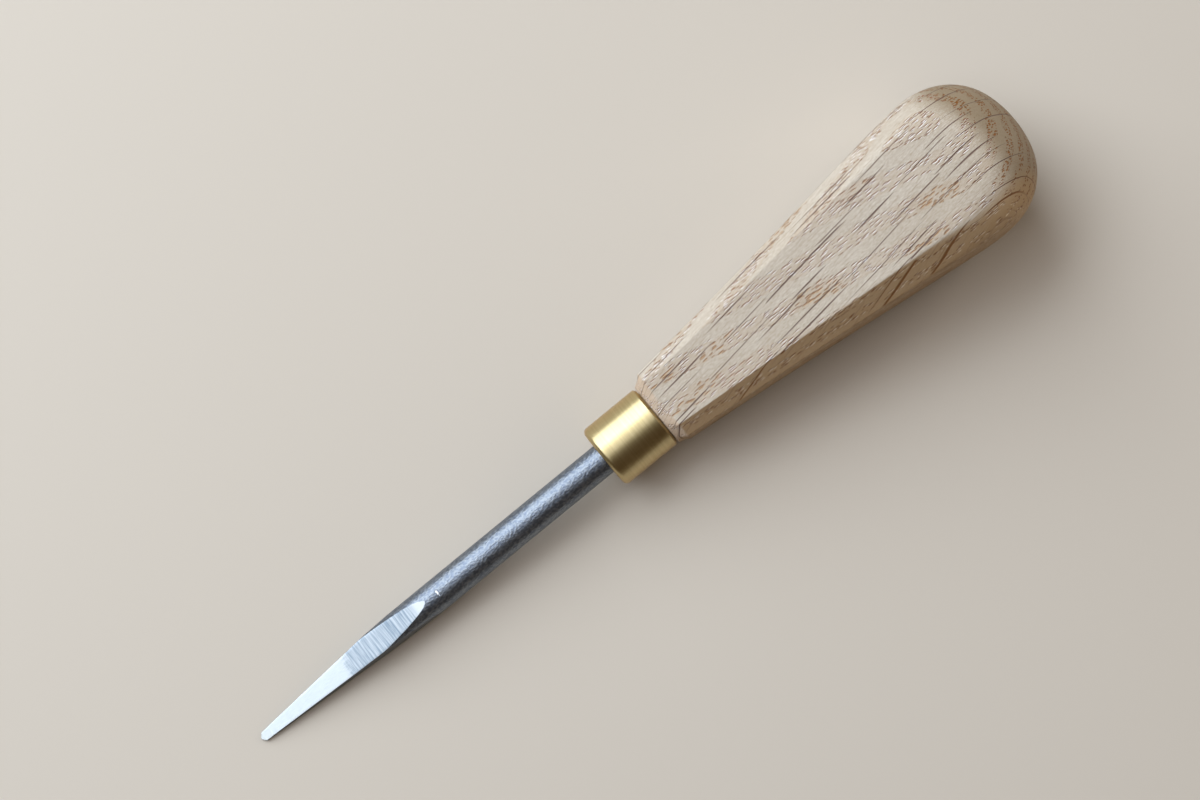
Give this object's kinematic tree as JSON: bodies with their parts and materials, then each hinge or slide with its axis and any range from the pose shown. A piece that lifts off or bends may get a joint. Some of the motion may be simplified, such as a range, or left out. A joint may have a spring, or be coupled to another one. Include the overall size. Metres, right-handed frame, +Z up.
{
  "type": "lino cutter",
  "caption": "Hand cutter with a round steel bar ground to a slim flat wedge, a turned brass ferrule and a faceted, flared oak handle with a domed butt.",
  "frame": {"origin": "middle of the object's box on the flat surface that the tool lies on, where it rests on its tip and on the underside of its handle", "axes": "+X from the cutting tip towards the butt, +Z up from the surface, +Y to the left of someone who looks along +X"},
  "size_m": [0.1762, 0.0298, 0.0298],
  "materials": {
    "blade_steel": "dark mill scale on the round bar, bright ground and honed faces at the tip",
    "ferrule_brass": "turned, fine brushing round it, satin",
    "handle_oak": "pale oak, planed and sanded, left matt",
    "adhesive": "cured clear amber adhesive, hidden"
  },
  "bodies": {
    "root": {"blade": "blade_steel", "ferrule": "ferrule_brass", "handle": "handle_oak", "tang_adhesive": "adhesive"}
  },
  "joints": []
}
